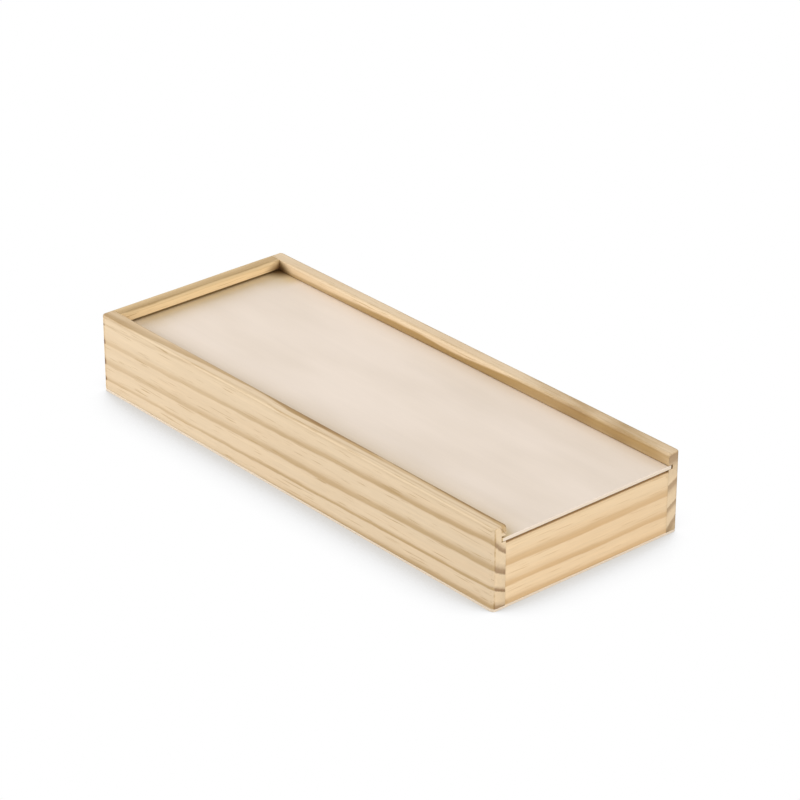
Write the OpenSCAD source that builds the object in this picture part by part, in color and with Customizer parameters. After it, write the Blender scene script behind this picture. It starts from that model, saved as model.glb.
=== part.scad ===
// Domino storage box: four pine boards, a plywood base and a plywood lid that slides in a groove.
// Millimetres, +Z up. The origin is the middle of the underside and X runs along the box.
// The lid slides out towards +X, over the low end wall.

/* [Box] */
// Outside length of the box
box_length = 220; // [160:1:300]
// Outside width of the box
box_width = 87.4; // [60:0.1:120]
// Outside height of the box, with the base
box_height = 32; // [24:0.1:60]
// Thickness of the four pine boards
wall_thickness = 5.5; // [4.5:0.1:8]
// Thickness of the plywood sheet glued under the boards
base_thickness = 1; // [0.8:0.1:3]

/* [Lid and its groove] */
// Thickness of the plywood lid
lid_thickness = 1.4; // [1:0.1:2]
// Play between the edges of the lid and the bottoms of the grooves
lid_play = 0.3; // [0.2:0.05:0.5]
// Height of the groove that is milled along the inside of a board
groove_height = 2.3; // [2.2:0.1:3.6]
// Depth of the groove
groove_depth = 2; // [1.5:0.1:2.6]
// Height of the lip of wood left above the groove
lip_height = 3.8; // [3:0.1:6]
// Drop from the floor of the groove to the top of the low end wall
low_wall_drop = 1; // [0.5:0.1:3]

/* [Sanded edges] */
// Radius of the four upright corners of the box
corner_radius = 1.8; // [1.5:0.1:4]
// Radius round the outside of the top
top_edge_radius = 0.8; // [0.4:0.1:1.2]
// Radius along the top inner edge of a grooved board
inner_edge_radius = 1.2; // [0.4:0.1:1.6]
// Radius along the top edges of the low end wall
low_edge_radius = 0.5; // [0.2:0.1:1]
// Radius round the underside of the base
base_edge_radius = 0.3; // [0.2:0.1:0.6]
// Radius of the four corners of the lid
lid_corner_radius = 0.8; // [0.4:0.1:2]
// Radius along the edges of the lid
lid_edge_radius = 0.3; // [0.2:0.1:0.4]

/* [Hidden] */

$fn = 64;
// Length by which a cutter passes clean through a face
spare = 1;

inner_length = box_length - 2 * wall_thickness;
inner_width = box_width - 2 * wall_thickness;
groove_top = box_height - lip_height;
groove_floor = groove_top - groove_height;
low_wall_top = groove_floor - low_wall_drop;

// The lid lies on the floor of the grooves, reaches into three of them with play
// at its edges, and ends flush with the outside of the low end.
lid_width = inner_width + 2 * (groove_depth - lid_play);
lid_back = -inner_length / 2 - groove_depth + lid_play;
lid_front = box_length / 2;

// Rectangle with two radii: one for the two lower corners, one for the two upper.
module rounded_rectangle(low, high, lower_radius, upper_radius) {
    difference() {
        translate(low) square(high - low);
        corner_waste(low, [1, 1], lower_radius);
        corner_waste([high.x, low.y], [-1, 1], lower_radius);
        corner_waste([low.x, high.y], [1, -1], upper_radius);
        corner_waste(high, [-1, -1], upper_radius);
    }
}

// The waste outside the arc of one corner. inward points from the corner into the shape.
module corner_waste(corner, inward, radius) {
    translate(corner) difference() {
        mirror([inward.x < 0 ? 1 : 0, 0])
            mirror([0, inward.y < 0 ? 1 : 0])
                translate([-spare, -spare]) square(radius + spare);
        translate(radius * inward) circle(radius);
    }
}

// Section across a grooved board, with its inner face at 0 and its height along Y.
module grooved_section() {
    difference() {
        translate([0, base_thickness])
            square([wall_thickness, box_height - base_thickness]);
        translate([-spare, groove_floor])
            square([groove_depth + spare, groove_height]);
        corner_waste([0, box_height], [1, -1], inner_edge_radius);
    }
}

// Section across the low end wall, which stops under the lid.
module low_section() {
    difference() {
        translate([0, base_thickness])
            square([wall_thickness, low_wall_top - base_thickness]);
        corner_waste([0, low_wall_top], [1, -1], low_edge_radius);
        corner_waste([wall_thickness, low_wall_top], [-1, -1], low_edge_radius);
    }
}

// Board that runs along X, centred, with its section's inner face at a distance from the middle.
module board(length, distance) {
    translate([-length / 2, distance, 0])
        rotate([90, 0, 90]) linear_extrude(length) children();
}

// The space that sanding leaves: rounded in plan, in side view and in end view.
module sanded_outline() {
    half_length = box_length / 2;
    half_width = box_width / 2;
    intersection() {
        linear_extrude(box_height)
            rounded_rectangle(
                [-half_length, -half_width], [half_length, half_width],
                corner_radius, corner_radius
            );
        rotate([90, 0, 0]) linear_extrude(box_width, center = true)
            rounded_rectangle(
                [-half_length, 0], [half_length, box_height],
                base_edge_radius, top_edge_radius
            );
        rotate([90, 0, 90]) linear_extrude(box_length, center = true)
            rounded_rectangle(
                [-half_width, 0], [half_width, box_height],
                base_edge_radius, top_edge_radius
            );
    }
}

// Long board. It runs past the end walls, so both of its ends show end grain
// and the open mouths of its groove.
module side_wall() {
    intersection() {
        board(box_length, inner_width / 2) grooved_section();
        sanded_outline();
    }
}

module left_side_wall() {
    color("burlywood") mirror([0, 1, 0]) side_wall();
}

module right_side_wall() {
    color("burlywood") side_wall();
}

// Short grooved board between the side walls. The back edge of the lid enters its groove.
module closed_end_wall() {
    color("tan") intersection() {
        rotate([0, 0, 90]) board(inner_width, inner_length / 2) grooved_section();
        sanded_outline();
    }
}

// Short, lower board between the side walls, under the front edge of the lid.
module low_end_wall() {
    color("wheat")
        rotate([0, 0, -90]) board(inner_width, inner_length / 2) low_section();
}

// Thin sheet glued under all four boards and sanded flush with them.
module base_panel() {
    color("blanchedalmond") intersection() {
        translate([-box_length / 2, -box_width / 2, 0])
            cube([box_length, box_width, base_thickness]);
        sanded_outline();
    }
}

// Thin sheet with small round corners and slightly rounded edges, lying in its grooves.
module sliding_lid() {
    half_width = lid_width / 2;
    lid_length = lid_front - lid_back;
    color("antiquewhite") translate([0, 0, groove_floor]) intersection() {
        linear_extrude(lid_thickness)
            rounded_rectangle(
                [lid_back, -half_width], [lid_front, half_width],
                lid_corner_radius, lid_corner_radius
            );
        rotate([90, 0, 0]) linear_extrude(lid_width, center = true)
            rounded_rectangle(
                [lid_back, 0], [lid_front, lid_thickness],
                lid_edge_radius, lid_edge_radius
            );
        translate([lid_back, 0, 0]) rotate([90, 0, 90]) linear_extrude(lid_length)
            rounded_rectangle(
                [-half_width, 0], [half_width, lid_thickness],
                lid_edge_radius, lid_edge_radius
            );
    }
}

left_side_wall();
right_side_wall();
closed_end_wall();
low_end_wall();
base_panel();
sliding_lid();
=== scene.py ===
"""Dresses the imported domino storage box: four pine boards, a plywood base and a plywood lid."""

import math
from typing import NamedTuple

import bpy
import numpy as np
from mathutils import Matrix, Vector


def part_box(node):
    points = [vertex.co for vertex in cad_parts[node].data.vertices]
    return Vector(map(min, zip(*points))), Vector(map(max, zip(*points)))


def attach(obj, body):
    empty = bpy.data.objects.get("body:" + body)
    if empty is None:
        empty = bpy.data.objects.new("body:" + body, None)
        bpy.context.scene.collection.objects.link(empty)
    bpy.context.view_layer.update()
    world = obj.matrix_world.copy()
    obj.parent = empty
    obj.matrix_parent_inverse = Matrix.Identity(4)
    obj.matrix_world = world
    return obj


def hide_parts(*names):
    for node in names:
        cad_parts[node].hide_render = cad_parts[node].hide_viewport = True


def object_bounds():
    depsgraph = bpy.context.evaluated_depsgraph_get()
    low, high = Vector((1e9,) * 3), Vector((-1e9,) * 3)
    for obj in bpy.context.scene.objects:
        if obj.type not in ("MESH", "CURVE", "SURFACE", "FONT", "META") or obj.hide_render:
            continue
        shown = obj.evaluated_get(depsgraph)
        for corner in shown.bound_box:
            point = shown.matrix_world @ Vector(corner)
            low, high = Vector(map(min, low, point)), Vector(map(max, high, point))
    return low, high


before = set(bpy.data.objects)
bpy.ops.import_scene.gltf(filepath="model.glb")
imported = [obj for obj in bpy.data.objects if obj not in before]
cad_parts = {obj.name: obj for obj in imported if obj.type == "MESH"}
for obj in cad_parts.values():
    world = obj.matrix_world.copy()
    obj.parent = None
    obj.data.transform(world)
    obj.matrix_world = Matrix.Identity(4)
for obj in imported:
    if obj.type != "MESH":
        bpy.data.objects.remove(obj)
cad_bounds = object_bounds()

MM = 0.001


def corners(box):
    """Lowest and highest corner of a box of the frame, in millimetres to the micron."""
    return [np.round(np.array(corner) / MM, 3).tolist() for corner in box]


# The box as the frame has it, in millimetres.
HALF_LENGTH, HALF_WIDTH, BOX_HEIGHT = corners(cad_bounds)[1]
BASE = corners(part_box("base_panel"))[1][2]
INNER_HALF_LENGTH = corners(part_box("low_end_wall"))[0][0]
LOW_WALL_TOP = corners(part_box("low_end_wall"))[1][2]
(LID_BACK, _, GROOVE_FLOOR), (LID_FRONT, LID_HALF_WIDTH, LID_TOP) = corners(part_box("sliding_lid"))
WALL = HALF_LENGTH - INNER_HALF_LENGTH
INNER_HALF_WIDTH = HALF_WIDTH - WALL

# The milled groove. The right board's is lower, and clears the lid by 0.2 mm.
GROOVE_ROOF = 28.2
LOW_GROOVE_ROOF = 27.5
GROOVE_DEPTH = 2.0

# Radii of corners and arrises. EASED is for the groove's lips and the base's upper arris,
# and SEAM for the ends of the boards.
CORNER = 1.8
TOP_ARRIS = 0.8
INNER_ARRIS = 1.2
LOW_ARRIS = 0.5
BASE_ARRIS = 0.3
LID_CORNER = 0.8
LID_ARRIS = 0.3
EASED = 0.08
GROOVE_CORNER = 0.1
INNER_FOOT = 0.1
OUTER_FOOT = 0.12
SEAM = 0.02

# Length of an inner arris over which it fades out towards a far corner.
SIDE_FADE = 14.0
END_FADE = 5.0

# Distance from the middle at which a side board starts to curve round its corner.
CORNER_START = HALF_LENGTH - CORNER

# Light of the even dome.
DOME = 0.60

WHITE = (1, 1, 1, 1)


# ---------------------------------------------------------------- shapes


def fillet_drop(distance, radius):
    """How far a rounded edge falls below its face, at a distance from the end.

    radius - sqrt(radius^2 - (radius - distance)^2), and nothing once distance passes radius."""
    left = np.clip(radius - distance, 0, radius)
    return radius - np.sqrt(radius**2 - left**2)


def smooth_share(share):
    """Share held between 0 and 1, with a smooth start and end: 3 s^2 - 2 s^3."""
    held = np.clip(share, 0, 1)
    return held**2 * (3 - 2 * held)


def slow_wave(along, seed):
    """A smooth uneven line between -1 and 1: a weighted sum of three sines of unrelated lengths."""
    lengths = np.array([91.0, 37.0, 17.0])
    shares = np.array([0.5, 0.3, 0.2])
    phases = np.array([1.0, 2.3, 4.1]) * (seed + 1)
    return (shares * np.sin(2 * np.pi * along[:, None] / lengths + phases)).sum(1)


def stations(start, end, radius, arc_steps, spacing):
    """Places of the sections along a board, packed closely where its ends are rounded.

    Near an end the distance is radius * (1 - cos a) for even steps of a, so a rounded
    corner gets even facets. Between the ends the sections are evenly spaced."""
    turn = np.linspace(0, math.pi / 2, arc_steps + 1)
    near_end = radius * (1 - np.cos(turn))
    count = max(2, round((end - start - 2 * radius) / spacing))
    middle = np.linspace(start + radius, end - radius, count + 1)[1:-1]
    return np.concatenate([start + near_end, middle, end - near_end[::-1]])


def end_gap(along):
    """Distance of each station from the nearer end of the board."""
    return np.minimum(along - along[0], along[-1] - along)


def corner_table(*pairs):
    """Corners of a section, given as (across, up) pairs that may vary by station."""
    flat = np.broadcast_arrays(*[value for pair in pairs for value in pair])
    return np.stack(flat, axis=-1).reshape(len(flat[0]), len(pairs), 2)


def radius_table(*radii):
    """Radii of a section's corners, each a number or one value for every station."""
    return np.stack(np.broadcast_arrays(*radii), axis=-1)


def rounded_outline(table, radii, arc_steps, edge_points):
    """Section with rounded corners at each station, as points and their nearness to an arris.

    table is stations x corners x 2 and every side runs along an axis. With p and n the
    directions from a corner to the one before and the one after, the arc's centre is
    corner + r (p + n), and its points are centre - r (n cos a + p sin a) for a from 0 to 90
    degrees. Straight sides are divided evenly. The nearness falls off as
    exp(-(distance / 0.5 mm)^2) along a straight side."""
    count = table.shape[1]
    before = np.sign(np.roll(table, 1, axis=1) - table)
    after = np.sign(np.roll(table, -1, axis=1) - table)
    angle = np.linspace(0, math.pi / 2, arc_steps + 1)[None, :, None]
    share = np.linspace(0, 1, edge_points + 2)[1:-1]
    points, near = [], []
    for k in range(count):
        r = radii[:, k, None, None]
        p, n = before[:, k, None, :], after[:, k, None, :]
        centre = table[:, k, None, :] + r * (p + n)
        arc = centre - r * (n * np.cos(angle) + p * np.sin(angle))
        points.append(arc)
        near.append(np.ones(arc.shape[:2]))
        following = (k + 1) % count
        start = table[:, k] + radii[:, k, None] * after[:, k]
        end = table[:, following] + radii[:, following, None] * before[:, following]
        side = start[:, None] + (end - start)[:, None] * share[None, :, None]
        length = np.linalg.norm(end - start, axis=1)[:, None]
        gap = length * np.minimum(share, 1 - share)
        points.append(side)
        near.append(np.exp(-((gap / 0.5) ** 2)))
    return np.concatenate(points, axis=1), np.concatenate(near, axis=1)


def sweep(name, along, section, near, place):
    """Closed mesh of a section carried along a straight board.

    Vertex (i, j) is point j of section i at station i. Neighbouring sections are joined by
    quads and the two ends are closed by one flat face each. Where the mesh's signed volume
    is below nought, its faces are turned over. place turns (along, across, up) in
    millimetres into the box's X, Y and Z. The attribute arris keeps the nearness to an
    arris, or to an end where that is more, as exp(-(distance / 0.4 mm)^2)."""
    count, width = section.shape[:2]
    run = np.broadcast_to(along[:, None], (count, width))
    x, y, z = place(run, section[..., 0], section[..., 1])
    co = np.stack([x, y, z], axis=-1).reshape(-1, 3) * MM
    index = np.arange(count * width).reshape(count, width)
    beside = np.roll(index, -1, axis=1)
    quads = np.stack([index[:-1], beside[:-1], beside[1:], index[1:]], axis=-1).reshape(-1, 4)
    ends = [index[0][::-1], index[-1]]
    a, b, c, d = (co[quads[:, k]] for k in range(4))
    volume = (np.cross(a, b) * c).sum() + (np.cross(a, c) * d).sum()
    if volume < 0:
        quads, ends = quads[:, ::-1], [end[::-1] for end in ends]
    mesh = bpy.data.meshes.new(name)
    mesh.from_pydata(co.tolist(), [], quads.tolist() + [end.tolist() for end in ends])
    arris = np.maximum(near, np.exp(-((end_gap(along) / 0.4) ** 2))[:, None])
    mesh.attributes.new("arris", "FLOAT", "POINT").data.foreach_set(
        "value", arris.ravel().astype(np.float32)
    )
    smooth = np.ones(len(mesh.polygons), dtype=bool)
    smooth[-2:] = False
    mesh.polygons.foreach_set("use_smooth", smooth)
    mesh.set_sharp_from_angle(angle=math.radians(32))
    mesh.update()
    piece = bpy.data.objects.new(name, mesh)
    bpy.context.scene.collection.objects.link(piece)
    return piece


def grooved_section(along, corner, seed, roof, arris_share):
    """Section of a grooved board from its inner face outwards, at each station.

    The outer face curves in at the ends with the corner's radius, and the top drops there
    by the arris radius. roof is the height of the groove's roof. arris_share scales the
    inner arris. The arris radii wander slowly along the board, as hand sanding leaves
    them. Where an end gets too thin, the groove keeps a little wood behind it, and the
    arris radii shrink together to keep a little between them."""
    behind, between = 0.12, 0.04
    gap = end_gap(along)
    seam = fillet_drop(gap, SEAM)
    outer = WALL - fillet_drop(gap, corner)
    top = BOX_HEIGHT - (fillet_drop(gap, TOP_ARRIS) if corner > TOP_ARRIS else seam)
    groove = np.minimum(GROOVE_DEPTH, outer - behind)
    inner_radius = INNER_ARRIS * (1 + 0.16 * slow_wave(along, seed)) * arris_share
    outer_radius = TOP_ARRIS * (1 + 0.14 * slow_wave(along, seed + 5))
    fit = np.minimum(1, (outer - seam - between) / (inner_radius + outer_radius))
    table = corner_table(
        (seam, BASE),
        (seam, GROOVE_FLOOR - seam),
        (groove, GROOVE_FLOOR - seam),
        (groove, roof + seam),
        (seam, roof + seam),
        (seam, top),
        (outer, top),
        (outer, BASE),
    )
    radii = radius_table(
        INNER_FOOT, EASED, GROOVE_CORNER, GROOVE_CORNER, EASED,
        inner_radius * fit, outer_radius * fit, OUTER_FOOT,
    )
    return rounded_outline(table, radii, arc_steps=8, edge_points=7)


def side_board(name, side, seed, roof, inner_share):
    """Long grooved board. side is -1 on the left and +1 on the right.

    inner_share scales its inner arris, which fades out towards the closed end wall, where
    sanding cannot reach, so the tops meet flush."""
    along = stations(-HALF_LENGTH, HALF_LENGTH, CORNER, arc_steps=26, spacing=1.0)
    opened = smooth_share((along + INNER_HALF_LENGTH) / SIDE_FADE)
    arris_share = inner_share * (0.2 + 0.8 * opened)
    section, near = grooved_section(along, CORNER, seed, roof, arris_share)
    return sweep(
        name, along, section, near,
        lambda run, across, up: (run, side * (INNER_HALF_WIDTH + across), up),
    )


def closed_end_board(name):
    """Short grooved board between the side boards, at the closed end."""
    along = stations(-INNER_HALF_WIDTH, INNER_HALF_WIDTH, SEAM, arc_steps=3, spacing=1.6)
    opened = smooth_share((INNER_HALF_WIDTH - np.abs(along)) / END_FADE)
    section, near = grooved_section(along, SEAM, 3, GROOVE_ROOF, 0.25 + 0.75 * opened)
    return sweep(
        name, along, section, near,
        lambda run, across, up: (-INNER_HALF_LENGTH - across, run, up),
    )


def low_end_board(name):
    """Short low board under the front edge of the lid."""
    along = stations(-INNER_HALF_WIDTH, INNER_HALF_WIDTH, SEAM, arc_steps=3, spacing=1.6)
    seam = fillet_drop(end_gap(along), SEAM)
    radius = LOW_ARRIS * (1 + 0.2 * slow_wave(along, 8))
    table = corner_table(
        (seam, BASE),
        (seam, LOW_WALL_TOP - seam),
        (WALL - seam, LOW_WALL_TOP - seam),
        (WALL - seam, BASE),
    )
    radii = radius_table(INNER_FOOT, radius, radius, OUTER_FOOT)
    section, near = rounded_outline(table, radii, arc_steps=8, edge_points=9)
    return sweep(
        name, along, section, near,
        lambda run, across, up: (INNER_HALF_LENGTH + across, run, up),
    )


def sheet(name, length, half_width, height, corner, low_arris, high_arris):
    """Flat plywood sheet with round corners and eased edges, swept from back to front.

    length holds its back and front, and height its lower and upper face. Its half width
    shrinks towards the ends by the corner's fillet, and its faces draw together there by
    the radii of their arrises."""
    along = stations(*length, corner, arc_steps=14, spacing=2.0)
    gap = end_gap(along)
    half = half_width - fillet_drop(gap, corner)
    bottom = height[0] + fillet_drop(gap, low_arris)
    top = height[1] - fillet_drop(gap, high_arris)
    table = corner_table((-half, bottom), (-half, top), (half, top), (half, bottom))
    radii = radius_table(np.full_like(gap, low_arris), high_arris, high_arris, low_arris)
    section, near = rounded_outline(table, radii, arc_steps=6, edge_points=12)
    return sweep(name, along, section, near, lambda run, across, up: (run, across, up))


# ---------------------------------------------------------------- node helpers


def colour(red, green, blue):
    """Linear colour of a screen colour whose parts run from 0 to 255."""
    parts = np.array([red, green, blue]) / 255
    linear = np.where(parts <= 0.04045, parts / 12.92, ((parts + 0.055) / 1.055) ** 2.4)
    return (*linear.tolist(), 1.0)


class Tree:
    """One node tree, with short ways to add nodes.

    node() gives back the new node, put() nothing, and the others output sockets."""

    def __init__(self, tree):
        self.tree = tree

    def node(self, kind, inputs=(), **settings):
        """A node of any kind, with its settings. inputs maps sockets to values or links."""
        made = self.tree.nodes.new(kind)
        for key, value in settings.items():
            setattr(made, key, value)
        for socket, value in dict(inputs).items():
            self.put(made.inputs[socket], value)
        return made

    def put(self, socket, value):
        """Links another node's output to a socket, or sets the socket to a plain value."""
        if isinstance(value, bpy.types.NodeSocket):
            self.tree.links.new(value, socket)
        else:
            socket.default_value = value

    def maths(self, operation, *values, clamp=False):
        """One step of arithmetic."""
        inputs = dict(enumerate(values))
        return self.node("ShaderNodeMath", inputs, operation=operation, use_clamp=clamp).outputs[0]

    def product(self, first, *others):
        """Several values multiplied together."""
        for other in others:
            first = self.maths("MULTIPLY", first, other)
        return first

    def rest(self, share):
        """What a share leaves of 1."""
        return self.maths("SUBTRACT", 1.0, share)

    def step(self, value, low, high, start=0.0, end=1.0):
        """Smooth change from start to end as value goes from low to high."""
        inputs = {"Value": value, "From Min": low, "From Max": high, "To Min": start, "To Max": end}
        made = self.node("ShaderNodeMapRange", inputs, interpolation_type="SMOOTHSTEP")
        return made.outputs["Result"]

    def spread(self, value, low, high):
        """Straight change from low to high as value, a noise, goes from 0.25 to 0.75."""
        inputs = {"Value": value, "From Min": 0.25, "From Max": 0.75, "To Min": low, "To Max": high}
        return self.node("ShaderNodeMapRange", inputs, clamp=False).outputs["Result"]

    def vector(self, x, y, z):
        """A vector of three values."""
        return self.node("ShaderNodeCombineXYZ", {0: x, 1: y, 2: z}).outputs[0]

    def split(self, vector):
        """The three parts of a vector, as three sockets."""
        made = self.node("ShaderNodeSeparateXYZ", {0: vector})
        return made.outputs[0], made.outputs[1], made.outputs[2]

    def stretched(self, place, length, width, seed):
        """Place divided by a length along X and a width across and up, moved by a seed."""
        scale = (1 / length, 1 / width, 1 / width)
        inputs = {0: place, 1: scale, 2: self.vector(seed, seed, seed)}
        return self.node("ShaderNodeVectorMath", inputs, operation="MULTIPLY_ADD").outputs[0]

    def noise(self, place, length, width, seed, detail=2.0, roughness=0.5, distortion=0.0):
        """Noise stretched to a length along X and a width, mostly between 0.25 and 0.75."""
        inputs = {
            "Vector": self.stretched(place, length, width, seed), "Scale": 1.0,
            "Detail": detail, "Roughness": roughness, "Distortion": distortion,
        }
        return self.node("ShaderNodeTexNoise", inputs).outputs[0]

    def cells(self, place, length, width, seed):
        """Distance to the middle of the nearest stretched cell, and three random values of it."""
        inputs = {"Vector": self.stretched(place, length, width, seed), "Scale": 1.0}
        made = self.node("ShaderNodeTexVoronoi", inputs, feature="F1")
        return made.outputs["Distance"], *self.split(made.outputs["Color"])

    def core(self, distance, reach):
        """1 at the middle of a cell, falling to nothing at the reach."""
        return self.maths("SUBTRACT", 1.0, self.maths("DIVIDE", distance, reach), clamp=True)

    def blend(self, share, first, second, mode="MIX"):
        """Two colours mixed by a share. With mode MULTIPLY the share goes to their product."""
        made = self.node("ShaderNodeMix", data_type="RGBA", blend_type=mode)
        self.put(made.inputs["Factor"], share)
        self.put(made.inputs[6], first)
        self.put(made.inputs[7], second)
        return made.outputs[2]

    def tinted(self, base, tint, share=1.0):
        """A colour multiplied by a tint, as far as the share says."""
        return self.blend(share, base, tint, "MULTIPLY")

    def shaded(self, base, shade):
        """A colour multiplied by a plain value."""
        return self.tinted(base, self.vector(shade, shade, shade))


def new_group(name, inputs, outputs):
    """A shader node group with named sockets. Gives its tree, input sockets and output node."""
    group = bpy.data.node_groups.new(name, "ShaderNodeTree")
    kinds = {"vector": "NodeSocketVector", "value": "NodeSocketFloat", "colour": "NodeSocketColor"}
    for label, kind in inputs.items():
        group.interface.new_socket(label, in_out="INPUT", socket_type=kinds[kind])
    for label, kind in outputs.items():
        group.interface.new_socket(label, in_out="OUTPUT", socket_type=kinds[kind])
    tree = Tree(group)
    entry = tree.node("NodeGroupInput")
    return tree, entry.outputs, tree.node("NodeGroupOutput")


# ---------------------------------------------------------------- finishes as node groups


def growth_ring_group():
    """Distance from the tree's pith in millimetres, in a board whose grain runs along X.

    The pith leans by a little for each millimetre of length. Slow noise makes the rings
    wander, fine noise frays their edges along the grain, and a swerve that is given along
    the board bends the rings, fully up to one distance and not at all beyond another."""
    tree, given, result = new_group(
        "growth_rings",
        {
            "Place": "vector", "Lean Across": "value", "Lean Up": "value", "Wander": "value",
            "Swerve": "value", "Swerve Full": "value", "Swerve Gone": "value", "Seed": "value",
        },
        {"Radius": "value"},
    )
    place, seed = given["Place"], given["Seed"]
    along, across, up = tree.split(place)
    across = tree.maths("MULTIPLY_ADD", along, given["Lean Across"], across)
    up = tree.maths("MULTIPLY_ADD", along, given["Lean Up"], up)
    square = tree.maths("MULTIPLY_ADD", across, across, tree.maths("MULTIPLY", up, up))
    radius = tree.maths("SQRT", square)
    share = tree.step(radius, given["Swerve Full"], given["Swerve Gone"], 1.0, 0.0)
    radius = tree.maths("MULTIPLY_ADD", given["Swerve"], share, radius)
    slow = tree.noise(place, 60.0, 14.0, seed, detail=1.0)
    wander = tree.maths("MULTIPLY", tree.spread(slow, -1.0, 1.0), given["Wander"])
    waved = tree.noise(place, 16.0, 7.0, seed, detail=1.0)
    frayed = tree.noise(place, 9.0, 0.9, seed, detail=3.0, roughness=0.65)
    ragged = tree.maths("ADD", tree.spread(waved, -0.14, 0.14), tree.spread(frayed, -0.2, 0.2))
    radius = tree.maths("ADD", radius, tree.maths("ADD", wander, ragged))
    tree.put(result.inputs["Radius"], radius)
    return tree.tree


def pine_group():
    """Colour, roughness and relief of sanded pine whose grain runs along X, in millimetres.

    The wood goes from earlywood to latewood by the share that is given, and carries a
    patchy stain, whose share also brings painted shade, a cloudy tint, fibre streaks, flecks,
    short resin canals and darker arrises, a painted shade that damps their highlight. End
    grain has colours of its own and is rougher and stippled with pores."""
    tree, given, result = new_group(
        "sanded_pine",
        {
            "Place": "vector", "Latewood": "value", "End Grain": "value", "Stain And Shade": "value",
            "Arris": "value",
            "Earlywood Colour": "colour", "Latewood Colour": "colour",
            "End Earlywood Colour": "colour", "End Latewood Colour": "colour", "Seed": "value",
        },
        {"Colour": "colour", "Roughness": "value", "Height": "value"},
    )
    place, seed = given["Place"], given["Seed"]
    late, end = given["Latewood"], given["End Grain"]
    on_side = tree.rest(end)
    cloud = tree.noise(place, 70.0, 9.0, seed)
    patch = tree.noise(place, 22.0, 2.2, seed)
    strand = tree.noise(place, 38.0, 1.1, seed, detail=3.0, roughness=0.6)
    fibre = tree.noise(place, 11.0, 0.22, seed, detail=3.0, roughness=0.65)
    pore = tree.noise(place, 0.4, 0.16, seed, roughness=0.7)
    flecks = tree.noise(place, 13.0, 0.42, seed, detail=1.0)
    fleck = tree.product(tree.step(flecks, 0.62, 0.74), on_side)

    # Resin canals: the thin cores of some of the cells of 18 x 1.1 x 1.1 mm.
    distance, size, chance, _ = tree.cells(place, 18.0, 1.1, seed)
    core = tree.core(distance, tree.maths("MULTIPLY_ADD", size, 0.10, 0.03))
    canal = tree.product(core, tree.step(chance, 0.35, 0.6), on_side)

    side_wood = tree.blend(late, given["Earlywood Colour"], given["Latewood Colour"])
    end_late = tree.maths("POWER", late, 0.8)
    end_wood = tree.blend(end_late, given["End Earlywood Colour"], given["End Latewood Colour"])
    wood = tree.blend(end, side_wood, end_wood)
    # The stain share also carries painted shade, which some boards mix into it.
    stain_and_shade_share = tree.product(given["Stain And Shade"], tree.step(patch, 0.38, 0.62, 0.5, 1.0))
    wood = tree.tinted(wood, (0.68, 0.59, 0.42, 1), stain_and_shade_share)
    clouded = tree.blend(tree.step(cloud, 0.35, 0.75, 0.0, 0.5), WHITE, (0.955, 0.90, 0.835, 1))
    wood = tree.tinted(wood, clouded)
    streaks = tree.product(tree.spread(strand, 0.955, 1.035), tree.spread(fibre, 0.95, 1.035))
    stipple = tree.maths("SUBTRACT", tree.spread(pore, 0.88, 1.06), 1.0)
    wood = tree.shaded(wood, tree.product(streaks, tree.maths("MULTIPLY_ADD", stipple, end, 1.0)))
    wood = tree.blend(tree.product(canal, 0.7), wood, colour(150, 108, 66))
    wood = tree.blend(tree.product(fleck, 0.65), wood, given["Latewood Colour"])
    # Darker arrises: a painted shade that damps their highlight.
    sharp = tree.maths("POWER", given["Arris"], 6.0)
    arris_shade = tree.product(sharp, on_side, tree.step(strand, 0.3, 0.7, 0.7, 1.0))
    wood = tree.tinted(wood, (0.85, 0.83, 0.78, 1), arris_shade)
    tree.put(result.inputs["Colour"], wood)

    rough = tree.maths("MULTIPLY_ADD", late, -0.08, 0.60)
    rough = tree.maths("MULTIPLY_ADD", end, 0.14, rough)
    rough = tree.maths("ADD", rough, tree.spread(fibre, -0.05, 0.05))
    tree.put(result.inputs["Roughness"], rough)

    height = tree.maths("MULTIPLY_ADD", late, 0.012, tree.spread(fibre, -0.007, 0.007))
    height = tree.maths("ADD", height, tree.spread(strand, -0.006, 0.006))
    height = tree.maths("MULTIPLY_ADD", canal, -0.025, height)
    height = tree.maths("MULTIPLY_ADD", tree.spread(pore, -0.02, 0.02), end, height)
    tree.put(result.inputs["Height"], height)
    return tree.tree


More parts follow.
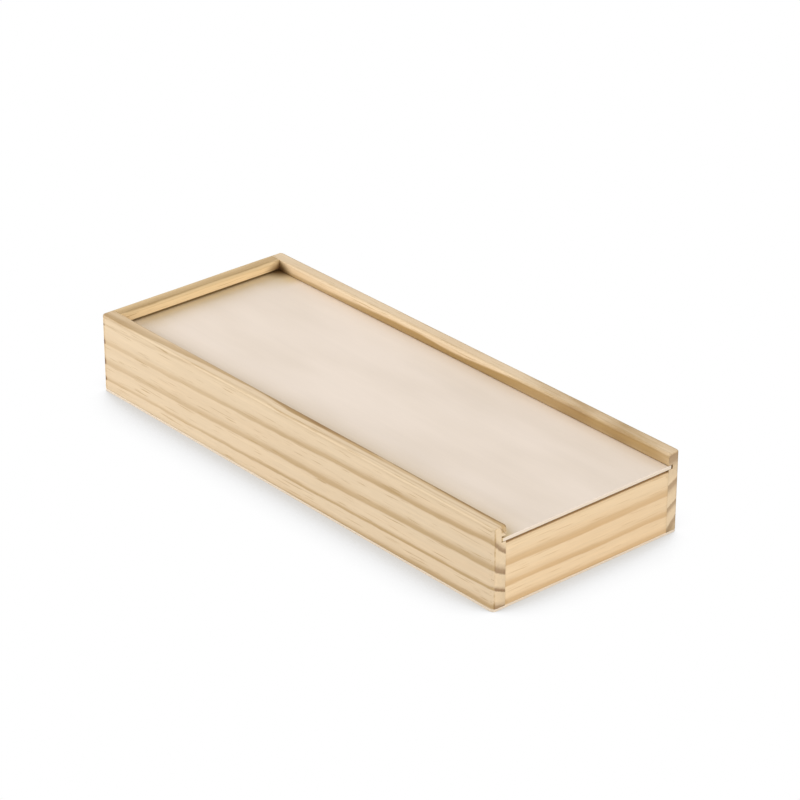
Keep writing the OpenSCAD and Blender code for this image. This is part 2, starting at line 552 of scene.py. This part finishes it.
def plywood_group():
    """Colour, roughness and relief of thin pale plywood, in millimetres, grain along X.

    The faces are a cloudy cream veneer with a faint flame and short pores. On the edges the
    three plies show, the middle one cut across its grain and darker, with two glue lines.
    The arrises are lightened, a painted highlight."""
    tree, given, result = new_group(
        "thin_plywood",
        {
            "Place": "vector", "Edge": "value", "Arris": "value", "Low": "value",
            "Thickness": "value", "Veneer Colour": "colour", "Core Colour": "colour",
            "Seed": "value",
        },
        {"Colour": "colour", "Roughness": "value", "Height": "value"},
    )
    place, seed, edge = given["Place"], given["Seed"], given["Edge"]
    cloud = tree.noise(place, 60.0, 22.0, seed)
    flame = tree.noise(place, 90.0, 5.0, seed, roughness=0.55, distortion=0.6)
    fibre = tree.noise(place, 7.0, 0.2, seed, detail=3.0, roughness=0.65)
    crossed = tree.noise(place, 0.25, 0.2, seed, detail=3.0, roughness=0.7)
    distance, chance, _, _ = tree.cells(place, 3.0, 0.5, seed)
    pore = tree.product(tree.core(distance, 0.13), tree.step(chance, 0.55, 0.9))

    # How far up the thickness, then how far from its middle: the core's edge is at 0.175.
    risen = tree.maths("SUBTRACT", tree.split(place)[2], given["Low"])
    level = tree.maths("DIVIDE", risen, given["Thickness"])
    off_centre = tree.maths("ABSOLUTE", tree.maths("SUBTRACT", level, 0.5))
    middle = tree.step(off_centre, 0.16, 0.19, 1.0, 0.0)
    off_glue = tree.maths("ABSOLUTE", tree.maths("SUBTRACT", off_centre, 0.175))
    glue = tree.step(off_glue, 0.0, 0.035, 1.0, 0.0)

    clouded = tree.step(cloud, 0.3, 0.8, 0.0, 0.45)
    face = tree.blend(clouded, given["Veneer Colour"], colour(221, 205, 186))
    streaks = tree.product(tree.spread(flame, 0.985, 1.012), tree.spread(fibre, 0.982, 1.014))
    face = tree.shaded(face, streaks)
    face = tree.blend(tree.product(pore, 0.22), face, colour(186, 160, 130))
    side = tree.blend(middle, given["Veneer Colour"], given["Core Colour"])
    side = tree.shaded(side, tree.spread(crossed, 0.93, 1.05))
    side = tree.blend(tree.product(glue, 0.35), side, colour(150, 118, 84))
    ply = tree.blend(edge, face, side)
    # Arrises are lightened, a painted highlight.
    ply = tree.blend(tree.product(given["Arris"], 0.2), ply, colour(244, 226, 203))
    tree.put(result.inputs["Colour"], ply)

    rough = tree.maths("MULTIPLY_ADD", edge, 0.15, tree.spread(fibre, 0.50, 0.58))
    tree.put(result.inputs["Roughness"], rough)
    height = tree.maths("ADD", tree.spread(fibre, -0.004, 0.004), tree.spread(flame, -0.004, 0.004))
    height = tree.maths("MULTIPLY_ADD", pore, -0.015, height)
    relief = tree.maths("MULTIPLY_ADD", middle, -0.03, tree.spread(crossed, -0.015, 0.015))
    height = tree.maths("MULTIPLY_ADD", relief, edge, height)
    tree.put(result.inputs["Height"], height)
    return tree.tree


def corner_shade_group():
    """Painted brown-olive shade where a surface lies in a corner.

    It follows how much of the sky nearby pieces leave, within the reach. The colour is
    multiplied by the depth once the sky falls to the shut share, and not at all above the
    open share. Narrow gaps are multiplied by the gap colour too, as painted shade, and the
    far inner corner is darker still, a painted shadow, by the share called nook, where a
    piece shuts it in."""
    tree, given, result = new_group(
        "corner_shade",
        {
            "Colour": "colour", "Reach": "value", "Open": "value", "Shut": "value",
            "Depth": "colour", "Gap": "colour", "Nook": "value",
        },
        {"Colour": "colour"},
    )
    hidden = tree.node("ShaderNodeAmbientOcclusion", {"Distance": given["Reach"]}, samples=12)
    sky = hidden.outputs["AO"]
    share = tree.step(sky, given["Shut"], given["Open"], 1.0, 0.0)
    finish = tree.tinted(given["Colour"], tree.blend(share, WHITE, given["Depth"]))
    finish = tree.tinted(finish, given["Gap"], tree.step(sky, 0.3, 0.55, 1.0, 0.0))
    in_nook = tree.product(given["Nook"], tree.step(sky, 0.75, 0.95, 1.0, 0.0))
    finish = tree.tinted(finish, (0.24, 0.17, 0.07, 1), in_nook)
    tree.put(result.inputs["Colour"], finish)
    return tree.tree


class Groups(NamedTuple):
    """The node groups that the materials share."""

    rings: bpy.types.NodeTree
    pine: bpy.types.NodeTree
    plywood: bpy.types.NodeTree
    shade: bpy.types.NodeTree


# ---------------------------------------------------------------- parts of a material


class Shade(NamedTuple):
    """One material's painted corner shade: its reach in millimetres, two shares of sky and two
    tints.
    """

    reach: float
    open_share: float
    shut_share: float
    depth: tuple
    gap: tuple


class Grain(NamedTuple):
    """How a board was sawn from its tree, in millimetres.

    pith is the tree's middle, across and up as in grain_place, and lean its drift for each
    millimetre of length. rings goes to ring_mask and run to course. The run's swerve acts
    fully on rings up to the first distance of swerved, and not beyond the second. The
    rings move across the board by the third value of moved as the height goes from the
    first to the second."""

    pith: tuple
    lean: tuple
    rings: list
    run: list
    swerved: tuple = (100.0, 101.0)
    moved: tuple = (0.0, 1.0, 0.0)


def new_material(name):
    """Empty material with one Principled shader. Gives the material, its tree and the shader."""
    material = bpy.data.materials.new(name)
    material.use_nodes = True
    tree = Tree(material.node_tree)
    shader = next(n for n in material.node_tree.nodes if n.type == "BSDF_PRINCIPLED")
    return material, tree, shader


def grain_place(tree, along_x, centre=(0.0, 0.0)):
    """Coordinate node, and the place in millimetres with the grain along X.

    The place is nought at the centre, which is given across and up. Across is Y in a
    board along X, and -X in a board along Y."""
    turn = 0.0 if along_x else -math.pi / 2
    made = tree.node("ShaderNodeTexCoord")
    inputs = {
        "Vector": made.outputs["Object"], "Scale": (1 / MM,) * 3,
        "Rotation": (0, 0, turn), "Location": (0, -centre[0], -centre[1]),
    }
    return made, tree.node("ShaderNodeMapping", inputs).outputs[0]


def facing(tree, coordinates, axis):
    """How far the surface faces along an axis: 1 along it, 0 beside it and -1 against it."""
    inputs = {0: coordinates.outputs["Normal"], 1: axis}
    return tree.node("ShaderNodeVectorMath", inputs, operation="DOT_PRODUCT").outputs["Value"]


def arris_share(tree):
    """Nearness to an arris, as the mesh keeps it."""
    return tree.node("ShaderNodeAttribute", attribute_name="arris").outputs["Fac"]


def set_stops(ramp, stops):
    """Fills a colour ramp, which has two stops at first, from (share, colour) pairs."""
    elements = ramp.color_ramp.elements
    for i, (share, shown) in enumerate(stops):
        stop = elements[i] if i < 2 else elements.new(share)
        stop.position = share
        stop.color = shown


def ramp_of(tree, value, low, high, stops):
    """Colour ramp over a value that runs from low to high. A stop is a place and a colour."""
    share = tree.node("ShaderNodeMapRange", {"Value": value, "From Min": low, "From Max": high})
    ramp = tree.node("ShaderNodeValToRGB", {0: share.outputs["Result"]})
    set_stops(ramp, [((place - low) / (high - low), shown) for place, shown in stops])
    return ramp


def ring_mask(tree, radius, rings):
    """Share of latewood at a distance from the pith.

    Each ring is its outer radius, the width of its latewood and how dark it gets. The wood
    darkens over that width and ends at the outer radius, where the next spring begins."""
    low = rings[0][0] - rings[0][1] - 1
    high = rings[-1][0] + 1
    darkness = [(low, 0.0)]
    for outer, width, depth in rings:
        darkness += [(outer - width, 0.0), (outer - 0.64 * width, 0.26 * depth)]
        darkness += [(outer - 0.38 * width, 0.86 * depth), (outer - 0.08 * width, depth)]
        darkness += [(outer + 0.22, 0.0)]
    stops = [(place, (dark, dark, dark, 1)) for place, dark in darkness]
    return tree.split(ramp_of(tree, radius, low, high, stops).outputs["Color"])[0]


def course(tree, along, run):
    """Swerve of the rings in millimetres, their darkness, and stain, along a board.

    run lists places with the three values there. A smooth ramp's red carries the swerve,
    from -2 to 2 mm, its green the darkness and its blue the stain."""
    stops = [(place, ((swerve + 2) / 4, dark, stain, 1)) for place, swerve, dark, stain in run]
    ramp = ramp_of(tree, along, run[0][0], run[-1][0], stops)
    ramp.color_ramp.interpolation = "CARDINAL"
    red, dark, stain = tree.split(ramp.outputs["Color"])
    return tree.maths("MULTIPLY_ADD", red, 4.0, -2.0), dark, stain


def nook(tree, coordinates):
    """Nearness to where the closed end board meets the right board, just above the lid.

    Heights count more than distances along and across the box. It masks a painted shadow in that
    corner."""
    weight = 1.6
    scale = (1 / MM, 1 / MM, weight / MM)
    start = (INNER_HALF_LENGTH, -INNER_HALF_WIDTH, -weight * (LID_TOP + 0.5))
    inputs = {0: coordinates.outputs["Object"], 1: scale, 2: start}
    away = tree.node("ShaderNodeVectorMath", inputs, operation="MULTIPLY_ADD").outputs[0]
    gap = tree.node("ShaderNodeVectorMath", {0: away}, operation="LENGTH").outputs["Value"]
    return tree.step(gap, 0.5, 8.8, 1.0, 0.0)


def feed_shader(tree, shader, finish, groups, shade, coordinates, weight=1.0):
    """Feeds a finish's shaded colour, its roughness and its relief into the shader.

    weight says how much of the shade's depth is used."""
    inputs = {
        "Colour": finish.outputs["Colour"], "Reach": shade.reach * MM,
        "Open": shade.open_share, "Shut": shade.shut_share,
        "Depth": tree.blend(weight, WHITE, shade.depth), "Gap": shade.gap,
        "Nook": nook(tree, coordinates),
    }
    cornered = tree.node("ShaderNodeGroup", inputs, node_tree=groups.shade)
    relief = {"Height": finish.outputs["Height"], "Strength": 1.0, "Distance": MM}
    bump = tree.node("ShaderNodeBump", relief)
    tree.put(shader.inputs["Base Color"], cornered.outputs["Colour"])
    tree.put(shader.inputs["Roughness"], finish.outputs["Roughness"])
    tree.put(shader.inputs["Normal"], bump.outputs["Normal"])


def end_grain(tree, turned, along, height, along_x):
    """Shares of end grain at a board's front and back ends.

    The back end of a board along X counts by its place, with the whole curve of the
    corner but without the top arris. The other ends count by how far the surface is
    turned along the grain."""
    front = tree.step(turned, 0.78, 0.93)
    if not along_x:
        return front, tree.step(turned, -0.75, -0.45, 1.0, 0.0)
    back = tree.step(along, -CORNER_START - 0.1, -CORNER_START + 0.6, 1.0, 0.0)
    return front, tree.product(back, tree.step(height, 30.9, 31.5, 1.0, 0.0))


def latewood_share(tree, groups, grain, place, height, swerve, darkness, seed):
    """Share of latewood, from the rings of a board's grain and how dark they are."""
    along, across, up = tree.split(place)
    start, end, shift = grain.moved
    moved = tree.maths("ADD", across, tree.step(height, start, end, 0.0, shift))
    inputs = {
        "Place": tree.vector(along, moved, up), "Wander": 0.3, "Seed": seed,
        "Lean Across": -grain.lean[0], "Lean Up": -grain.lean[1], "Swerve": swerve,
        "Swerve Full": grain.swerved[0], "Swerve Gone": grain.swerved[1],
    }
    radius = tree.node("ShaderNodeGroup", inputs, node_tree=groups.rings).outputs["Radius"]
    return tree.maths("MULTIPLY", ring_mask(tree, radius, grain.rings), darkness, clamp=True)


def painted_end_shade(tree, place, turned, back, seed):
    """Painted shade at a side board's ends: a broken dark line down the front corner's crease, and
    the back end.
    """
    line = tree.product(tree.step(turned, 0.70, 0.82), tree.step(turned, 0.88, 0.96, 1.0, 0.0))
    broken = tree.step(tree.noise(place, 4.0, 4.0, seed), 0.4, 0.55, 0.25, 0.9)
    return tree.maths("MAXIMUM", tree.product(line, broken), tree.product(back, 0.6))


def inner_edge_shade(tree, along, across, height, edge_shade_span):
    """Painted shade along the inner edge of the top.

    The span gives two places across the box and two along it, between which it grows."""
    inner = tree.step(across, edge_shade_span[0], edge_shade_span[1])
    grown = tree.step(along, edge_shade_span[2], edge_shade_span[3], 0.0, 1.4)
    return tree.product(inner, grown, tree.step(height, 29.0, 30.0))


# ---------------------------------------------------------------- materials


EARLYWOOD = colour(233, 209, 175)
LATEWOOD = colour(184, 151, 100)
END_EARLYWOOD = colour(240, 214, 176)
END_LATEWOOD = colour(146, 110, 72)
BOARD_SHADE = Shade(
    reach=6.0, open_share=0.5, shut_share=0.2,
    depth=(0.4, 0.33, 0.22, 1), gap=(0.6, 0.5, 0.35, 1),
)


def pine(
    name, groups, along_x, grain, seed, early=EARLYWOOD, late=LATEWOOD, shade=BOARD_SHADE,
    stain_from=-1.0, edge_shade_span=None,
):
    """Pine for one board, whose length lies along X or along Y.

    The stain of the grain's run shows above the height stain_from. The span for the painted
    shade along the inner edge of the top goes to the function that paints it there."""
    material, tree, shader = new_material(name)
    coordinates, place = grain_place(tree, along_x, grain.pith)
    along, across, up = tree.split(place)
    height = tree.maths("ADD", up, grain.pith[1])
    turned = facing(tree, coordinates, (1, 0, 0) if along_x else (0, 1, 0))
    front, back = end_grain(tree, turned, along, height, along_x)
    swerve, darkness, stain = course(tree, along, grain.run)
    # At the back end the rings are darker still, as painted shade.
    darkness = tree.product(darkness, tree.maths("MULTIPLY_ADD", back, 1.9, 1.0))
    latewood = latewood_share(tree, groups, grain, place, height, swerve, darkness, seed)

    stain = tree.product(stain, tree.step(height, stain_from, stain_from + 0.8))
    # Painted shade along the inner edge of the top joins the stain.
    if edge_shade_span:
        aside = tree.maths("ADD", across, grain.pith[0])
        edge_shade = inner_edge_shade(tree, along, aside, height, edge_shade_span)
        stain = tree.maths("MAXIMUM", stain, edge_shade)
    # The side boards' ends get painted shade too, mixed into the stain.
    if along_x:
        end_shade = painted_end_shade(tree, place, turned, back, seed)
        stain = tree.maths("MAXIMUM", stain, end_shade)
    inputs = {
        "Place": place, "Latewood": latewood, "Seed": seed, "Stain And Shade": stain,
        "End Grain": tree.maths("MAXIMUM", front, back), "Arris": arris_share(tree),
        "Earlywood Colour": early, "Latewood Colour": late,
        "End Earlywood Colour": END_EARLYWOOD, "End Latewood Colour": END_LATEWOOD,
    }
    wood = tree.node("ShaderNodeGroup", inputs, node_tree=groups.pine)
    feed_shader(tree, shader, wood, groups, shade, coordinates)
    return material


def left_side_pine(groups):
    """Pine of the left board, with painted shade along the inner edge of its top."""
    grain = Grain(
        pith=(-26.57, 42.12),
        lean=(0.0177, 0.0099),
        rings=[
            (17.0, 4.6, 1.25), (19.7, 1.3, 0.45), (25.84, 2.5, 0.75), (33.08, 3.5, 0.75),
            (39.3, 1.9, 0.88), (45.7, 3.0, 0.75),
        ],
        run=[
            (-110, -0.8, 0.6, 0.7), (-92, -0.7, 0.5, 0.35), (-75, -0.27, 0.55, 0.05),
            (-60, 0.34, 0.6, 0.0), (-50, 0.87, 0.62, 0.0), (-35, 1.05, 0.7, 0.0),
            (-20, 1.2, 0.72, 0.05), (-10, 0.6, 0.8, 0.0), (0, -0.46, 0.9, 0.05),
            (25, -0.3, 0.9, 0.0), (50, -0.1, 0.95, 0.0), (75, -0.7, 1.3, 0.0),
            (96, -1.35, 1.05, 0.0), (110, -1.2, 1.0, 0.0),
        ],
        swerved=(18.5, 21.5),
    )
    return pine(
        "left_side_pine", groups, along_x=True, grain=grain, seed=1.0,
        stain_from=30.9, edge_shade_span=(-40.8, -39.5, -35.0, 20.0),
    )


def right_side_pine(groups):
    """Pine of the right board, with wide olive latewood on its inner face, darkened further by a
    deep painted shade.
    """
    grain = Grain(
        pith=(53.0, -10.0),
        lean=(0.0, 0.02),
        rings=[(19.0, 4.0, 0.85), (24.6, 3.0, 0.85), (32.4, 4.5, 0.85), (41.0, 8.0, 1.0)],
        run=[
            (-110, 0.1, 0.5, 0.15), (-85, 0.0, 0.5, 0.15), (-60, -0.05, 0.75, 0.05),
            (-50, -0.2, 0.9, 0.0), (-20, -0.2, 1.0, 0.0), (-10, 0.5, 1.05, 0.1),
            (0, 0.75, 1.05, 0.1), (12, 0.45, 1.0, 0.0), (25, 0.1, 1.0, 0.0),
            (40, -0.15, 0.95, 0.05), (54, 0.0, 0.88, 0.4), (65, 0.2, 1.0, 0.75),
            (73, 0.35, 1.0, 0.1), (80, 0.5, 1.0, 0.3), (86, 0.6, 1.0, 0.55),
            (93, 0.75, 1.0, 0.1), (103, 1.0, 0.9, 0.0), (110, 1.1, 0.65, 0.0),
        ],
        moved=(21.0, 29.0, 11.0),
    )
    shade = Shade(
        reach=8.0, open_share=0.9, shut_share=0.4,
        depth=(0.62, 0.57, 0.43, 1), gap=(0.8, 0.7, 0.55, 1),
    )
    return pine(
        "right_side_pine", groups, along_x=True, grain=grain, seed=7.0,
        late=colour(174, 141, 84), shade=shade,
    )


def closed_end_pine(groups):
    """Pine of the closed end board, a little yellower than the side boards."""
    grain = Grain(
        pith=(117.0, 45.0),
        lean=(0.0, 0.004),
        rings=[
            (17.8, 4.2, 0.9), (24.8, 3.0, 0.7), (31.8, 3.0, 0.8), (38.8, 3.0, 0.8),
            (45.0, 3.0, 0.7),
        ],
        run=[
            (-44, 0.1, 1.0, 0.1), (-20, -0.2, 1.0, 0.1), (0, 0.1, 0.9, 0.1),
            (20, -0.1, 1.0, 0.1), (44, 0.1, 0.9, 0.1),
        ],
    )
    return pine(
        "closed_end_pine", groups, along_x=False, grain=grain, seed=13.0,
        early=colour(235, 206, 159),
    )


def low_end_pine(groups):
    """Pine of the low end board, with soft orange latewood."""
    grain = Grain(
        pith=(-95.0, 55.0),
        lean=(0.0, -0.002),
        rings=[(32.5, 2.5, 0.5), (42.2, 5.0, 0.95), (49.5, 3.8, 0.95), (56.0, 3.3, 0.95)],
        run=[
            (-44, 0.1, 1.0, 0.0), (-24, 0.0, 0.95, 0.0), (0, -0.2, 1.0, 0.0),
            (24, 0.1, 0.85, 0.0), (44, 0.2, 0.9, 0.0),
        ],
    )
    shade = Shade(
        reach=6.0, open_share=0.45, shut_share=0.2, depth=(0.74, 0.62, 0.42, 1), gap=WHITE
    )
    return pine(
        "low_end_pine", groups, along_x=False, grain=grain, seed=21.0,
        early=colour(243, 214, 173), late=colour(218, 181, 132), shade=shade,
    )


def shade_weight(tree, place):
    """How deep a sheet's painted corner shade is.

    It weakens towards the closed end and the right board, and is strong again right beside
    the closed end board, less so near the left board."""
    along, across, _ = tree.split(place)
    weight = tree.step(along, -95.0, 90.0, 0.5, 1.0)
    weight = tree.product(weight, tree.step(across, 14.0, 30.0, 1.0, 0.12))
    near_end = tree.step(along, -96.0, -88.0, 1.0, 0.0)
    near_end = tree.product(near_end, tree.step(across, -36.0, -24.0, 0.45, 0.9))
    return tree.maths("MAXIMUM", weight, near_end)


def plywood(name, groups, height, seed, veneer, core, shade):
    """Thin plywood for one sheet. height holds that of its lower and of its upper face."""
    material, tree, shader = new_material(name)
    coordinates, place = grain_place(tree, True)
    upright = tree.maths("ABSOLUTE", facing(tree, coordinates, (0, 0, 1)))
    inputs = {
        "Place": place, "Low": height[0], "Thickness": height[1] - height[0], "Seed": seed,
        "Edge": tree.rest(tree.step(upright, 0.3, 0.8)), "Arris": arris_share(tree),
        "Veneer Colour": veneer, "Core Colour": core,
    }
    ply = tree.node("ShaderNodeGroup", inputs, node_tree=groups.plywood)
    feed_shader(tree, shader, ply, groups, shade, coordinates, shade_weight(tree, place))
    return material


def base_plywood(groups):
    """Plywood of the base, with a pale orange edge."""
    shade = Shade(
        reach=6.0, open_share=0.2, shut_share=0.1, depth=(0.8, 0.7, 0.55, 1), gap=WHITE
    )
    return plywood(
        "base_ply", groups, height=(0.0, BASE), seed=31.0,
        veneer=colour(242, 226, 205), core=colour(233, 212, 186), shade=shade,
    )


def lid_plywood(groups):
    """Plywood of the lid, with a wide soft painted shade along the boards. Its core is lighter than
    the base's, a painted highlight on the lit front edge.
    """
    shade = Shade(
        reach=16.0, open_share=0.985, shut_share=0.8,
        depth=(0.84, 0.745, 0.49, 1), gap=(0.74, 0.6, 0.42, 1),
    )
    return plywood(
        "lid_ply", groups, height=(GROOVE_FLOOR, LID_TOP), seed=43.0,
        veneer=colour(241, 226, 211), core=colour(244, 226, 200), shade=shade,
    )


# ---------------------------------------------------------------- the box


def place_piece(piece, body, node, material):
    """Gives a piece its finish and lets it stand for a node of the frame."""
    piece.data.materials.append(material)
    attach(piece, body)
    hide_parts(node)


def make_boards(groups):
    """The four pine boards."""
    place_piece(
        side_board("left_side_board", side=-1, seed=1, roof=GROOVE_ROOF, inner_share=0.35),
        "box", "left_side_wall", left_side_pine(groups),
    )
    place_piece(
        side_board("right_side_board", side=1, seed=2, roof=LOW_GROOVE_ROOF, inner_share=1.0),
        "box", "right_side_wall", right_side_pine(groups),
    )
    place_piece(
        closed_end_board("closed_end_board"),
        "box", "closed_end_wall", closed_end_pine(groups),
    )
    place_piece(
        low_end_board("low_end_board"),
        "box", "low_end_wall", low_end_pine(groups),
    )


def make_sheets(groups):
    """The base and the lid."""
    base = sheet(
        "base_sheet", length=(-HALF_LENGTH, HALF_LENGTH), half_width=HALF_WIDTH,
        height=(0.0, BASE), corner=CORNER, low_arris=BASE_ARRIS, high_arris=EASED,
    )
    place_piece(base, "box", "base_panel", base_plywood(groups))
    lid = sheet(
        "lid_sheet", length=(LID_BACK, LID_FRONT), half_width=LID_HALF_WIDTH,
        height=(GROOVE_FLOOR, LID_TOP), corner=LID_CORNER, low_arris=LID_ARRIS,
        high_arris=LID_ARRIS,
    )
    place_piece(lid, "lid", "sliding_lid", lid_plywood(groups))


# ---------------------------------------------------------------- the studio


def make_floor():
    """White floor. The camera sees it lifted to white, with the box's contact shadow painted on it.
    """
    size, divisions = 6.0, 9
    line = np.linspace(-size, size, divisions)
    x, y = np.meshgrid(line, line)
    co = np.stack([x, y, np.zeros_like(x)], axis=-1).reshape(-1, 3)
    index = np.arange(divisions**2).reshape(divisions, divisions)
    quads = np.stack([index[:-1, :-1], index[:-1, 1:], index[1:, 1:], index[1:, :-1]], axis=-1)
    mesh = bpy.data.meshes.new("studio_floor")
    mesh.from_pydata(co.tolist(), [], quads.reshape(-1, 4).tolist())
    mesh.materials.append(floor_white())
    floor = bpy.data.objects.new("studio_floor", mesh)
    bpy.context.scene.collection.objects.link(floor)


def floor_white():
    """Matt grey as a surface for light, and to the camera white with a painted contact shadow,
    darker where nearby pieces hide the sky.
    """
    material, tree, shader = new_material("studio_floor_white")
    tree.tree.nodes.remove(shader)
    sky = tree.node("ShaderNodeAmbientOcclusion", {"Distance": 0.035}, samples=16)
    ramp = tree.node("ShaderNodeValToRGB", {0: sky.outputs["AO"]})
    stops = [
        (0.52, (0.67, 0.64, 0.60, 1)), (0.595, (0.86, 0.857, 0.857, 1)),
        (0.67, (0.945, 0.945, 0.947, 1)), (0.76, WHITE),
    ]
    set_stops(ramp, stops)
    shown = tree.node("ShaderNodeEmission", {"Color": ramp.outputs["Color"], "Strength": 1.0})
    lit = tree.node("ShaderNodeBsdfDiffuse", {"Color": (0.45, 0.45, 0.45, 1)})
    path = tree.node("ShaderNodeLightPath")
    white = tree.node(
        "ShaderNodeMixShader",
        {0: path.outputs["Is Camera Ray"], 1: lit.outputs["BSDF"], 2: shown.outputs["Emission"]},
    )
    surface = next(n for n in tree.tree.nodes if n.type == "OUTPUT_MATERIAL")
    tree.put(surface.inputs["Surface"], white.outputs["Shader"])
    return material


def make_world():
    """Even white dome: a plain white backdrop to the camera, softer as a light."""
    world = bpy.data.worlds.new("studio_dome")
    world.use_nodes = True
    bpy.context.scene.world = world
    tree = Tree(world.node_tree)
    path = tree.node("ShaderNodeLightPath")
    seen = tree.maths("MAXIMUM", path.outputs["Is Camera Ray"], path.outputs["Is Glossy Ray"])
    strength = tree.maths("MULTIPLY_ADD", seen, 1 - DOME, DOME)
    background = next(n for n in world.node_tree.nodes if n.type == "BACKGROUND")
    background.inputs["Color"].default_value = WHITE
    tree.put(background.inputs["Strength"], strength)


def add_softbox(name, heading, elevation, distance, size, level):
    """Square area lamp at a distance in metres, turned to the box.

    heading is its direction in the floor's plane, from +X towards +Y, and elevation its
    height, in degrees. level is the light it adds to a surface that faces it: 1 shows a
    colour as it is written."""
    turn, rise = math.radians(heading), math.radians(elevation)
    back = Vector((
        math.cos(turn) * math.cos(rise), math.sin(turn) * math.cos(rise), math.sin(rise),
    ))
    data = bpy.data.lights.new(name, "AREA")
    data.shape = "SQUARE"
    data.size = size
    data.energy = level * (math.pi * distance) ** 2
    lamp = bpy.data.objects.new(name, data)
    lamp.matrix_world = (
        Matrix.Translation(back * distance) @ back.to_track_quat("Z", "Y").to_matrix().to_4x4()
    )
    bpy.context.scene.collection.objects.link(lamp)


def make_camera():
    """Long lens above the low end and the left side, aimed near the middle of the box."""
    azimuth, elevation, roll = (math.radians(a) for a in (49.135, 26.900, 0.102))
    aim = Vector((-0.00213, 0.01203, 0.01869))
    distance = 1.18634
    back = Vector((
        math.sin(azimuth) * math.cos(elevation),
        -math.cos(azimuth) * math.cos(elevation),
        math.sin(elevation),
    ))
    data = bpy.data.cameras.new("studio_camera")
    data.sensor_width = 36.0
    data.lens = 145.792
    data.clip_start, data.clip_end = 0.05, 30.0
    camera = bpy.data.objects.new("studio_camera", data)
    turn = (-back).to_track_quat("-Z", "Y").to_matrix().to_4x4()
    place = Matrix.Translation(aim + back * distance)
    camera.matrix_world = place @ turn @ Matrix.Rotation(roll, 4, "Z")
    bpy.context.scene.collection.objects.link(camera)
    bpy.context.scene.camera = camera


make_camera()
groups = Groups(growth_ring_group(), pine_group(), plywood_group(), corner_shade_group())
make_boards(groups)
make_sheets(groups)
make_floor()
make_world()
add_softbox("key_softbox", heading=-140.0, elevation=20.0, distance=1.2, size=0.5, level=0.60)
add_softbox("fill_softbox", heading=-17.5, elevation=20.0, distance=2.2, size=1.5, level=0.57)
bpy.context.scene.view_settings.view_transform = "Standard"
